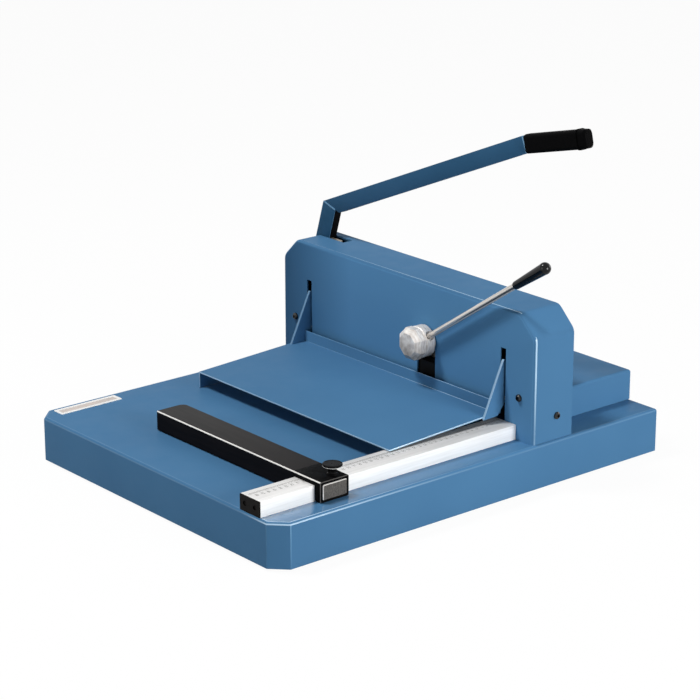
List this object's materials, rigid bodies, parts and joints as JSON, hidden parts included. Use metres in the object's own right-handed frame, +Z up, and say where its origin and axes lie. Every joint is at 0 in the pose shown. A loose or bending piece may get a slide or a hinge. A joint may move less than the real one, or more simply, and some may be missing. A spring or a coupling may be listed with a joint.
{
  "type": "stack paper cutter",
  "caption": "Lever stack paper cutter: sheet-steel base, blade housing with side lever, clamp lever, sliding back gauge on a ruler bar, hinged guard and rear cover.",
  "frame": {"origin": "centre of the stand-bolt pattern on the underside of the base floor", "axes": "+X to the operator's right, +Y to the back, +Z up; -Z is the way the stand bolts leave"},
  "size_m": [0.6189, 0.726, 0.5344],
  "materials": {
    "blue_paint": "semi-gloss enamel",
    "frame_steel": "dark machined steel",
    "bright_steel": "bright ground steel",
    "hub_metal": "satin turned",
    "rod_chrome": "polished plating",
    "ruler_metal": "satin anodised",
    "bush_bronze": "plain bearing bronze",
    "foot_rubber": "matte",
    "stick_plastic": "moulded plastic",
    "gloss_black": "glossy",
    "grip_black": "moulded grip",
    "screw_black": "black oxide",
    "gauge_black": "satin black",
    "gauge_cap_black": "moulded cap",
    "end_plate_grey": "satin grey"
  },
  "bodies": {
    "frame": {"base_housing": "blue_paint", "base_floor": "frame_steel", "base_rails": "frame_steel", "rubber_feet": "foot_rubber", "stick_tray": "frame_steel", "cutting_stick": "stick_plastic", "left_cheek": "frame_steel", "right_cheek": "frame_steel", "frame_bolts": "bright_steel", "main_beam": "frame_steel", "upper_bar": "frame_steel", "guide_pins": "bright_steel", "press_guide_rods": "bright_steel", "clamp_bearing": "frame_steel", "lever_bracket": "frame_steel", "lever_shaft": "bright_steel", "housing_cover": "blue_paint", "rear_panel": "blue_paint", "housing_screws": "screw_black", "ruler_bar": "ruler_metal", "ruler_end_cap": "gloss_black", "guard_hinge_blocks": "frame_steel", "guard_pins": "bright_steel", "rear_hinge_leaves": "blue_paint", "rear_hinge_pins": "bright_steel", "blade_springs": "bright_steel", "press_springs": "bright_steel"},
    "lever": {"lever_crank": "bright_steel", "lever_bush": "bush_bronze", "crank_pin": "bright_steel", "lever_post": "blue_paint", "lever_bar": "blue_paint", "lever_grip": "grip_black", "grip_cap": "grip_black"},
    "blade_carriage": {"blade_carrier": "frame_steel", "blade": "bright_steel", "blade_screws": "bright_steel"},
    "press": {"press_beam": "frame_steel"},
    "clamp_lever": {"clamp_pinion": "bright_steel", "clamp_shaft": "bright_steel", "hub_nut": "hub_metal", "hub_ring": "hub_metal", "clamp_rod": "rod_chrome", "clamp_knob": "gloss_black"},
    "gauge": {"gauge_bar": "gauge_black", "gauge_bar_cap": "gauge_cap_black", "gauge_block": "gauge_black", "gauge_end_plate": "end_plate_grey"},
    "gauge_knob": {"thumb_knob": "gloss_black", "thumb_stud": "bright_steel"},
    "guard": {"guard_plate": "blue_paint", "guard_arm_left": "blue_paint", "guard_arm_right": "blue_paint"},
    "rear_hood": {"rear_cover": "blue_paint", "rear_cover_hinges": "blue_paint"}
  },
  "joints": [
    {"name": "lever_turn", "type": "hinge", "parent": "frame", "child": "lever", "pos_m": [-0.245, 0.163, 0.2], "axis": [0, 1, 0], "range_deg": [0, 24.5], "stiffness_Nm_per_rad": 20, "springref_deg": -34.38},
    {"name": "blade_slide", "type": "slide", "parent": "frame", "child": "blade_carriage", "axis": [-0.2588, 0, -0.9659], "range_m": [0, 0.02951], "deforming": ["blade_springs"]},
    {"name": "clamp_turn", "type": "hinge", "parent": "frame", "child": "clamp_lever", "pos_m": [0.055, 0.097, 0.17], "axis": [0, -1, 0], "range_deg": [0, 120]},
    {"name": "press_slide", "type": "slide", "parent": "frame", "child": "press", "axis": [0, 0, -1], "range_m": [0, 0.02356], "stiffness_N_per_m": 1000, "springref_m": -0.06, "deforming": ["press_springs"]},
    {"name": "gauge_slide", "type": "slide", "parent": "frame", "child": "gauge", "axis": [0, 1, 0], "range_m": [-0.085, 0.105]},
    {"name": "thumb_turn", "type": "hinge", "parent": "gauge", "child": "gauge_knob", "pos_m": [0.2465, -0.232, 0.1], "axis": [0, 0, 1], "range_deg": [0, 270]},
    {"name": "guard_lift", "type": "hinge", "parent": "frame", "child": "guard", "pos_m": [0, 0.116, 0.123], "axis": [-1, 0, 0], "range_deg": [0, 55]},
    {"name": "rear_cover_lift", "type": "hinge", "parent": "frame", "child": "rear_hood", "pos_m": [0, 0.1919, 0.1185], "axis": [1, 0, 0], "range_deg": [0, 75]}
  ],
  "couplings": [
    {"joint": "blade_slide", "follows": "lever_turn", "m_per_rad": 0.069001},
    {"joint": "press_slide", "follows": "clamp_turn", "m_per_rad": 0.01125}
  ]
}
